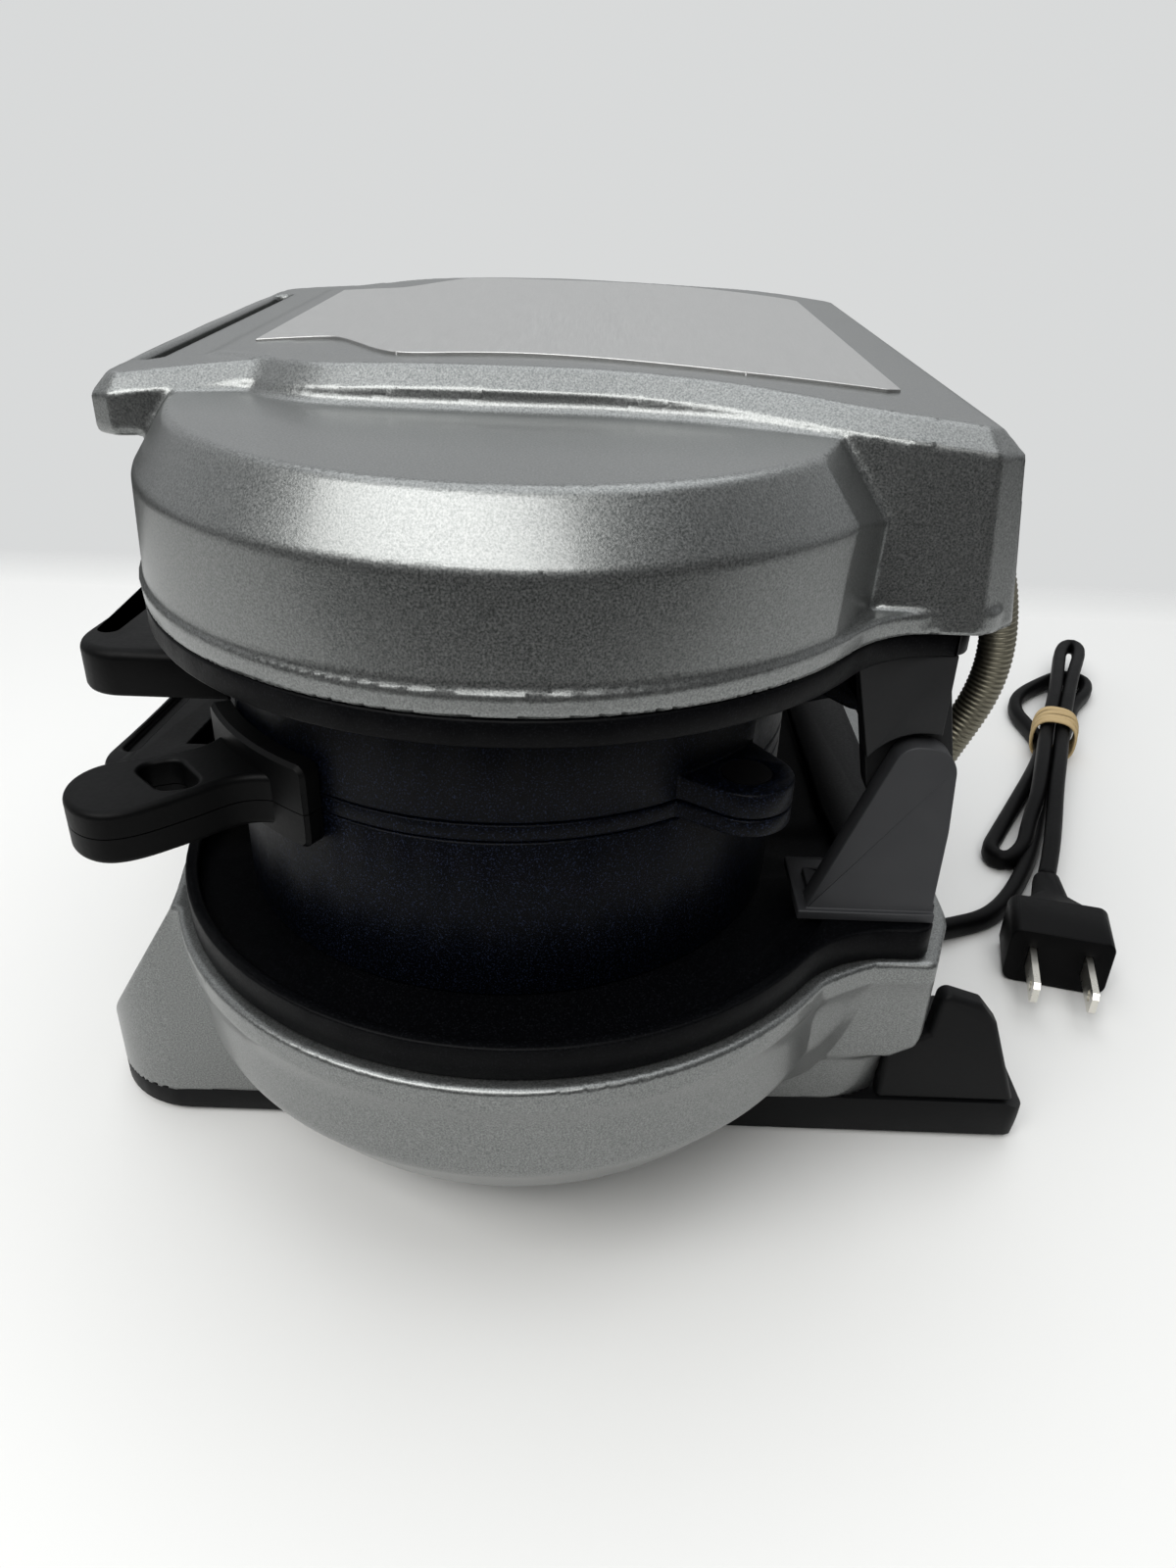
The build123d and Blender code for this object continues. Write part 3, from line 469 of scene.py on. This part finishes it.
def coverLobe(side, y, z):
    reach = np.hypot(side - lobeX, y)
    wall = reach - cover["wallRadius"] + (z - cover["wallZ"]) * cover["wallLean"]
    cone = (reach - cover["coneRadius"]) * 0.8305 + (z - cover["coneZ"]) * 0.5565
    lobe = meetRound(meetRound(wall, cone, 0.4), z - cover["lobeTopZ"], 0.9)
    # flats where the lobe runs into the middle
    upright = (side - 98.3) * 0.5 + (y - 53.2) * 0.866
    leaning = (side - 96.6) * 0.298 + (y - 46.6) * 0.751 + (z - 153) * 0.59
    return np.maximum(lobe, np.maximum(upright, leaning))


def coverHandle(side, y, z):
    # the loop handle along the front, with the slot for the fingers
    handleTop = crestHeight(y) - 0.3
    handle = meetBevel(outlineField(side, y, handlePlan), z - handleTop, 3.2)
    handle = meetRound(handle, z - handleTop, 0.8)
    handle = meetRound(handle, cover["gripFloorZ"] - z, 1.6)
    slotSide = np.abs(y - cover["slotY"]) - cover["slotHalfWidth"]
    slot = meetRound(side - cover["slotHalf"], slotSide, 2.0)
    return meetRound(handle, -slot, 1.0)


def coverField(x, y, z):
    side = np.abs(x)
    slant = (155 - z) * 0.13 * softStep(y, 20, 50)
    crest = outlineField(side, y, crestPlan) - slant
    crest = meetBevel(crest, z - crestHeight(y), cover["crestBevel"])
    crest = meetRound(crest, z - crestHeight(y), 0.8)
    body = joinRound(coverLobe(side, y, z), crest, 2.4 - 1.4 * softStep(y, 36, 50))
    # the ledge along the foot, which the heating plate fills
    ledge = outlineField(side, y, flangePlan) + (127 - z) * 0.1
    body = joinRound(body, meetRound(ledge, z - cover["wallZ"], 0.8), 0.6)
    body = joinRound(body, coverHandle(side, y, z), 1.5)
    return meetRound(body, cover["footZ"] - z, 0.4)


# lower housing shell, in millimetres

housing = {
    "topZ": 57.1,
    "wallRadius": 69.3,
    "wallZ": 34.4,
    "wallLean": 0.0793,
    "coneRadius": 60,
    "bowlFloorZ": 21,
    "columnHalf": 62,
    "columnY": -3,
    "columnReach": 70,
    "columnCorner": 20,
    "flareZ": 11,
    "flare": 0.217,
    "frontY": -93,
    "rearCut": 110,
}
rimPlan = lobePlan(71.1, 92, 87)
rearOutline = [(20, 28), (78.5, 28), (82.5, 31), (85, 37), (85, 62), (20, 62)]


def housingBowl(side, y, z):
    reach = np.hypot(side - lobeX, y)
    wall = reach - housing["wallRadius"] - (z - housing["wallZ"]) * housing["wallLean"]
    cone = (reach - housing["coneRadius"]) * 0.822 - (z - housing["bowlFloorZ"]) * 0.57
    return meetRound(meetRound(wall, cone, 0.8), housing["bowlFloorZ"] - z, 1.0)


def housingColumn(side, y, z):
    # the column between the bowls, with the sloping control face in front
    flare = (z - housing["flareZ"]) * housing["flare"] * softStep(y, 0, 45)
    acrossX = side - housing["columnHalf"] - flare
    acrossY = np.abs(y - housing["columnY"]) - housing["columnReach"]
    corner = np.hypot(np.maximum(acrossX, 0), np.maximum(acrossY, 0))
    plan = corner + np.minimum(np.maximum(acrossX, acrossY), 0) - housing["columnCorner"]
    depth = y - housing["frontY"]
    slope = (z - 17) * 0.514 - depth * 0.858
    column = meetRound(plan, slope, 0.8)
    return np.maximum(column, np.maximum(6 + depth / 36 - z, y - 79.4))


def housingField(x, y, z):
    side = np.abs(x)
    rear = outlineField(y, z, rearOutline) - 2
    rear = meetRound(rear, (side - 82) * 0.977 - (z - housing["flareZ"]) * 0.212, 1.5)
    body = joinRound(housingColumn(side, y, z), rear, 2)
    body = joinBevel(housingBowl(side, y, z), body, 0.8 + 6 * softStep(y, 10, 40))
    edge = outlineField(side, y, rimPlan)
    rim = np.maximum(edge, edge * 0.8 + (52.5 - z) * 0.6)
    body = joinRound(body, rim, 3)
    # the cut corners at the back
    body = meetRound(body, side * 0.361 + y * 0.933 - housing["rearCut"], 1.2)
    return meetRound(body, z - housing["topZ"], 0.8)


coverShell = fieldPiece("coverShell", coverField, (-80, 122), (128, 85, 163), 0.8)
housingShell = fieldPiece("housingShell", housingField, (-95, 4), (130, 89, 59), 0.9)
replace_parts(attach(coverShell, "cover"), "cover_housing")
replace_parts(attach(housingShell, "base"), "lower_housing")

# brushed panel on the crest of the cover

panel = {"proud": 0.35, "thick": 0.9, "edge": 0.18}
panelSide = [(40.5, -51.8), (40.3, -44.5), (40.4, -38.6), (42.4, -35.2), (49, -30.8)]
panelSide += [(56.2, -26.2), (60.2, -22), (61, -17), (60, -9), (59.5, 1), (60.7, 13.6)]
panelSide = curveThrough(panelSide + [(62.4, 25), (64, 38)], 3)
panelSide += [(64.2, 54.5), (63.9, 62.5), (62, 65)]


def angleBevel(piece, width, limit):
    # two segments on every edge sharper than the limit, the width in millimetres
    bevel = piece.modifiers.new("edges", "BEVEL")
    bevel.width = width / 1000
    bevel.segments = 2
    bevel.limit_method = "ANGLE"
    bevel.angle_limit = math.radians(limit)
    bevel.harden_normals = True
    return bevel


def brushedPanel():
    work = bmesh.new()
    outline = panelSide + [(-x, y) for x, y in panelSide[::-1]]
    work.faces.new([work.verts.new((x, y, 0)) for x, y in outline])
    # strips across the panel let it follow the crest
    for y in range(-50, 65, 4):
        everything = work.verts[:] + work.edges[:] + work.faces[:]
        bmesh.ops.bisect_plane(work, geom=everything, plane_co=(0, y, 0), plane_no=(0, 1, 0))
    lifted = bmesh.ops.extrude_face_region(work, geom=work.faces[:])
    raised = {vertex for vertex in lifted["geom"] if isinstance(vertex, bmesh.types.BMVert)}
    for vertex in work.verts:
        top = crestHeight(vertex.co.y) + panel["proud"]
        vertex.co.z = top if vertex in raised else top - panel["thick"]
    bmesh.ops.scale(work, vec=(0.001, 0.001, 0.001), verts=work.verts)
    bmesh.ops.translate(work, vec=(0, -midDepth, 0), verts=work.verts)
    bmesh.ops.recalc_face_normals(work, faces=work.faces)
    for face in work.faces:
        face.smooth = True
    mesh = bpy.data.meshes.new("brushedPanel")
    work.to_mesh(mesh)
    work.free()
    mesh.materials.append(finishes["brushed_inlay"])
    piece = linked("brushedPanel", mesh)
    angleBevel(piece, panel["edge"], 50)
    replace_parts(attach(piece, "cover"), "cover_panel")


brushedPanel()


# pieces that keep the solids' shapes and get the small rounded edges of moulded and pressed parts


def softEdged(node, width):
    mesh = bpy.data.meshes.new(node + "Soft")
    work = bmesh.new()
    work.from_mesh(nodes[node].data)
    bmesh.ops.remove_doubles(work, verts=work.verts, dist=0.00002)
    bmesh.ops.dissolve_limit(work, angle_limit=0.004, verts=work.verts, edges=work.edges)
    for face in work.faces:
        face.smooth = True
    work.to_mesh(mesh)
    work.free()
    mesh.materials.clear()
    mesh.materials.append(ownFinish.get(node, finishes[slotOf[node]]))
    piece = linked(node + "Soft", mesh)
    bevel = angleBevel(piece, width, 32)
    # the sharp corners of these two would throw spikes
    bevel.use_clamp_overlap = node in ("base_plate", "rear_feet")
    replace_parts(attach(piece, bodyOf[node]), node)
    return piece


# edge radius of each piece, in millimetres
edgeRadii = {
    "lower_heating_plate": 0.5,
    "upper_heating_plate": 0.5,
    "lower_rings": 0.4,
    "upper_rings": 0.4,
    "cooking_plate_right": 0.3,
    "cooking_plate_left": 0.3,
    "lower_ring_handle": 0.8,
    "upper_ring_handle": 0.8,
    "hinge_bracket_right": 0.3,
    "hinge_bracket_left": 0.3,
    "hinge_arm_right": 0.3,
    "hinge_arm_left": 0.3,
    "base_plate": 0.5,
    "rear_feet": 0.5,
    "timer_knob": 0.4,
    "plug_body": 0.5,
}
softPieces = {node: softEdged(node, width) for node, width in edgeRadii.items()}
print("soft edged pieces:", len(softPieces))

# cords, conduit and band


def splineCurve(name, points):
    curve = bpy.data.curves.new(name, "CURVE")
    curve.dimensions = "3D"
    curve.resolution_u = 12
    spline = curve.splines.new("NURBS")
    spline.points.add(len(points) - 1)
    for point, place in zip(spline.points, points):
        point.co = (*place, 1)
    spline.order_u = 3
    spline.use_endpoint_u = True
    return curve


def splineLine(points, spacing):
    # even steps along the route's own spline
    guide = linked("guide", splineCurve("guide", points))
    mesh = bpy.data.meshes.new_from_object(guide)
    line = np.array([vertex.co for vertex in mesh.vertices])
    bpy.data.objects.remove(guide)
    bpy.data.meshes.remove(mesh)
    along = np.concatenate([[0], np.cumsum(np.linalg.norm(np.diff(line, axis=0), axis=1))])
    count = max(2, round(along[-1] / spacing))
    wanted = np.linspace(0, along[-1], count + 1)
    even = [np.interp(wanted, along, line[:, axis]) for axis in range(3)]
    return np.stack(even, axis=1), along[-1]


def sweptTube(name, line, section, up, swell=None, closed=False):
    # the section is drawn across and up the line, and swell widens it ring by ring
    work = bmesh.new()
    ahead = np.roll(line, -1, axis=0) - np.roll(line, 1, axis=0)
    if not closed:
        ahead[0], ahead[-1] = line[1] - line[0], line[-1] - line[-2]
    rings = []
    for index, (place, run) in enumerate(zip(line, ahead)):
        run = Vector(run).normalized()
        across = run.cross(Vector(up)).normalized()
        rise = across.cross(run)
        size = swell(index) if swell else 1.0
        corners = [(across * a + rise * b) * size for a, b in section]
        rings.append([work.verts.new(Vector(place) + corner) for corner in corners])
    pairs = list(zip(rings, rings[1:])) + ([(rings[-1], rings[0])] if closed else [])
    for first, second in pairs:
        for a in range(len(section)):
            b = (a + 1) % len(section)
            work.faces.new((first[a], first[b], second[b], second[a]))
    if not closed:
        work.faces.new(rings[0][::-1])
        work.faces.new(rings[-1])
    bmesh.ops.recalc_face_normals(work, faces=work.faces)
    for face in work.faces:
        face.smooth = len(face.verts) == 4
    mesh = bpy.data.meshes.new(name)
    work.to_mesh(mesh)
    work.free()
    return linked(name, mesh)


def dressed(piece, slot):
    piece.data.materials.append(finishes[slot])
    return piece


cord = {
    "wide": 0.0064,  # the flat twin stands on edge
    "thick": 0.0056,
    "groove": 0.00035,
    "bundleStart": (-0.0462, 0.150335),
    "bundleTurn": 157.8,
}
# the route over the table in millimetres: from the gland into the tied bundle
cordOut = [
    (14, 92.1, 10.1), (13.4, 98.5, 6.8), (10.4, 105.2, 4.6), (6.6, 111.8, 3.5), (4, 118, 3.3),
    (-0.5, 124.3, 3.3), (-8, 130.6, 3.3), (-19.3, 138, 3.3), (-35.1, 146.5, 3.3), (-52, 154, 3.3),
    (-70.4, 161.9, 3.3), (-90.2, 172.2, 3.4), (-108.3, 181, 3.6), (-127, 190.3, 3.6),
]  # fmt: skip
# round the far end, back under the band and out to the open fold
cordFolds = [
    (-143, 197.5, 3.5), (-156, 208, 3.4), (-168, 211.5, 3.4), (-172.5, 203, 3.4), (-163, 191, 3.5),
    (-150, 177.5, 3.5), (-136, 172.2, 3.4), (-122, 173.5, 3.4), (-106.4, 174, 3.4), (-86.7, 163.8, 3.4),
    (-64.2, 150.4, 3.4), (-45, 138.9, 3.4), (-32.5, 131.4, 3.4), (-27, 136, 3.5), (-34, 143.5, 4.6),
    (-46.6, 148.6, 6.2), (-60.5, 155.6, 8.8), (-82.9, 164.4, 10.4), (-108.2, 174, 11),
]  # fmt: skip
# up to the long end loop and down again to the plug
cordIn = [
    (-134.8, 186, 11.2), (-158.6, 195.4, 11), (-186, 206.2, 10.2), (-191.5, 212.6, 10),
    (-184, 214, 10.2), (-159.9, 202.4, 11), (-136.2, 191.8, 11.2), (-109.4, 180.2, 11),
    (-86, 171.4, 10.8), (-64.3, 162.6, 10.2),
    (-42.1, 154.4, 9.6), (-24.4, 147.6, 9), (-10.5, 141.4, 8.6),
]  # fmt: skip


def bundlePlace(along, across, above):
    turn = math.radians(cord["bundleTurn"])
    x, y = cord["bundleStart"]
    x += (along * math.cos(turn) - across * math.sin(turn)) / 1000
    y += (along * math.sin(turn) + across * math.cos(turn)) / 1000
    return (x, y, above / 1000)


def twinSection():
    # two cores one above the other, with a shallow groove between them on each side
    half, radius = cord["wide"] / 2, cord["thick"] / 2
    height = half - 0.1 * (half - radius)
    section = []
    for step in range(20):
        angle = 2 * math.pi * step / 20
        rise = math.sin(angle)
        groove = cord["groove"] * math.exp(-((rise * 2.4) ** 2))
        section.append(((radius - groove) * math.cos(angle), height * rise))
    return section


route = cordOut + cordFolds + cordIn
cordPoints = [tuple(part / 1000 for part in place) for place in route]
cordLine, cordLength = splineLine(cordPoints, 0.0022)
mainsLead = dressed(sweptTube("mainsLead", cordLine, twinSection(), (0, 0, 1)), "cord_pvc")
print("cord length", round(cordLength, 4))
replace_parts(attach(mainsLead, "base"), "mains_cord", "plug_lead", "cord_hank")


band = {
    "turns": 5,
    "spacing": 2.7,
    "start": 62.5,
    "half": 7.4,
    "aside": -1.6,
    "middle": 8.1,
}


def squared(value):
    # rounds the loop out towards its corners
    return math.copysign(abs(value) ** 0.75, value)


def bandLoops():
    # a rubber band wound round the bundle, every turn leaning its own way
    turnWay = math.radians(cord["bundleTurn"])
    axis = (math.cos(turnWay), math.sin(turnWay), 0)
    angles = [a * math.pi / 5 for a in range(10)]
    section = [(0.0006 * math.cos(angle), 0.0015 * math.sin(angle)) for angle in angles]
    whole = bmesh.new()
    for turn in range(band["turns"]):
        loop = []
        for step in range(40):
            angle = 2 * math.pi * step / 40
            along = band["start"] + band["spacing"] * turn + 0.9 * math.sin(angle + turn * 1.7)
            across = band["half"] * squared(math.cos(angle)) + band["aside"]
            above = band["middle"] + band["half"] * squared(math.sin(angle))
            loop.append(bundlePlace(along, across + 0.2 * math.sin(turn * 2), above))
        wound = sweptTube(f"bandTurn{turn}", np.array(loop), section, axis, closed=True)
        whole.from_mesh(wound.data)
        bpy.data.objects.remove(wound)
    mesh = bpy.data.meshes.new("tieBand")
    whole.to_mesh(mesh)
    whole.free()
    return linked("tieBand", mesh)


tieBand = dressed(bandLoops(), "band_rubber")
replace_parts(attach(tieBand, "base"), "cord_band")

conduit = {"x": 0.0575, "radius": 0.0036, "pitch": 0.00105}
# depth and height along the conduit, from the cover down to the base
conduitRoute = [
    (conduit["x"], y, z)
    for y, z in (
        (0.075433, 0.1315),
        (0.0812, 0.1272),
        (0.0842, 0.119),
        (0.0858, 0.11),
        (0.0856, 0.1025),
        (0.0838, 0.0955),
        (0.0802, 0.0875),
        (0.0773, 0.0805),
        (0.076835, 0.072),
        (0.076835, 0.0601),
    )
]


def ribbedConduit():
    # each rib is four rings long
    line, _ = splineLine(conduitRoute, conduit["pitch"] / 4)
    ring = [2 * math.pi * step / 24 for step in range(24)]
    section = [(conduit["radius"] * math.cos(a), conduit["radius"] * math.sin(a)) for a in ring]
    rise = (1.0, 0.965, 0.9, 0.965)

    def swell(index):
        return rise[index % 4]

    tube = sweptTube("ribbedConduit", line, section, (1, 0, 0), swell)
    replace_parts(tube, "conduit")
    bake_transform(tube)
    return dressed(tube, "conduit_steel")


ribbedConduit()
print("cord, band and conduit made")

# stage, light and camera

# the table runs from under the back wall to its edge behind the camera
wallX, tableEdge, tableHalf = -0.30, 0.36, 3


def floorSheet():
    mesh = bpy.data.meshes.new("floor")
    work = bmesh.new()
    ends = ((wallX, -1), (tableEdge, -1), (tableEdge, 1), (wallX, 1))
    outline = [(x, side * tableHalf) for x, side in ends]
    work.faces.new([work.verts.new((x, y, 0)) for x, y in outline])
    work.to_mesh(mesh)
    work.free()
    floor = linked("floor", mesh)
    paint = Paint("tableTop", Specular_IOR_Level=0.35)
    cloud = paint.noise(3, 3)
    paint.set("Base_Color", paint.mix(cloud, (0.71, 0.71, 0.697), (0.74, 0.74, 0.73)))
    paint.set("Roughness", cloud * 0.1 + 0.45)
    # the far edge fades into the wall
    along = paint.node("SeparateXYZ", "X", {"Vector": paint.place})
    paint.set("Alpha", along.ramp(wallX, wallX + 0.05))
    mesh.materials.append(paint.material)


def softLight(name, place, aim, size, power, tint):
    data = bpy.data.lights.new(name, "AREA")
    data.shape = "RECTANGLE"
    data.size, data.size_y = size
    data.energy = power
    data.color = tint
    light = linked(name, data)
    light.location = place
    towards = Vector(aim) - Vector(place)
    light.rotation_euler = towards.to_track_quat("-Z", "Y").to_euler()


def room():
    # the camera sees an even pale wall; the object is lit from all round, mostly from behind
    world = bpy.data.worlds.new("room")
    bpy.context.scene.world = world
    world.use_nodes = True
    tree = world.node_tree
    lit = tree.nodes["Background"]
    lit.inputs["Color"].default_value = (0.97, 0.985, 1, 1)
    way = tree.nodes.new("ShaderNodeTexCoord")
    parts = tree.nodes.new("ShaderNodeSeparateXYZ")
    tree.links.new(way.outputs["Generated"], parts.inputs[0])
    behind = Socket(tree, parts.outputs["X"]).ramp(0.35, -0.3)
    height = Socket(tree, parts.outputs["Z"])
    wallGlow = height.ramp(-0.06, 0.2) * behind * 0.58
    plug(tree, lit.inputs["Strength"], wallGlow + height.ramp(-0.2, 0.2) * 0.09)
    seen = tree.nodes.new("ShaderNodeBackground")
    seen.inputs["Color"].default_value = (0.69, 0.7, 0.7, 1)
    path = tree.nodes.new("ShaderNodeLightPath")
    either = tree.nodes.new("ShaderNodeMixShader")
    tree.links.new(path.outputs["Is Camera Ray"], either.inputs[0])
    tree.links.new(lit.outputs[0], either.inputs[1])
    tree.links.new(seen.outputs[0], either.inputs[2])
    tree.links.new(either.outputs[0], tree.nodes["World Output"].inputs["Surface"])


view = {"place": (0.264778, 0.006427, 0.192478), "lens": 25.875, "down": 29.65, "roll": 2.0}


def placeCamera():
    data = bpy.data.cameras.new("camera")
    data.lens = view["lens"]
    data.sensor_width = 36
    data.clip_start = 0.01
    camera = linked("camera", data)
    turn = Matrix.Rotation(math.radians(90), 4, "Z")
    turn = turn @ Matrix.Rotation(math.radians(90 - view["down"]), 4, "X")
    turn = turn @ Matrix.Rotation(math.radians(view["roll"]), 4, "Z")
    camera.matrix_world = Matrix.Translation(view["place"]) @ turn
    bpy.context.scene.camera = camera


floorSheet()
softLight("window", (0.78, -0.34, 1.0), (0.1, 0, 0.12), (1.5, 0.45), 14.5, (1, 0.995, 0.98))
softLight("ceiling", (-0.1, 0.0, 1.3), (0, 0, 0), (1.5, 1.5), 12, (0.97, 0.985, 1))
room()
placeCamera()
bpy.context.scene.view_settings.view_transform = "Standard"
print("stage ready")
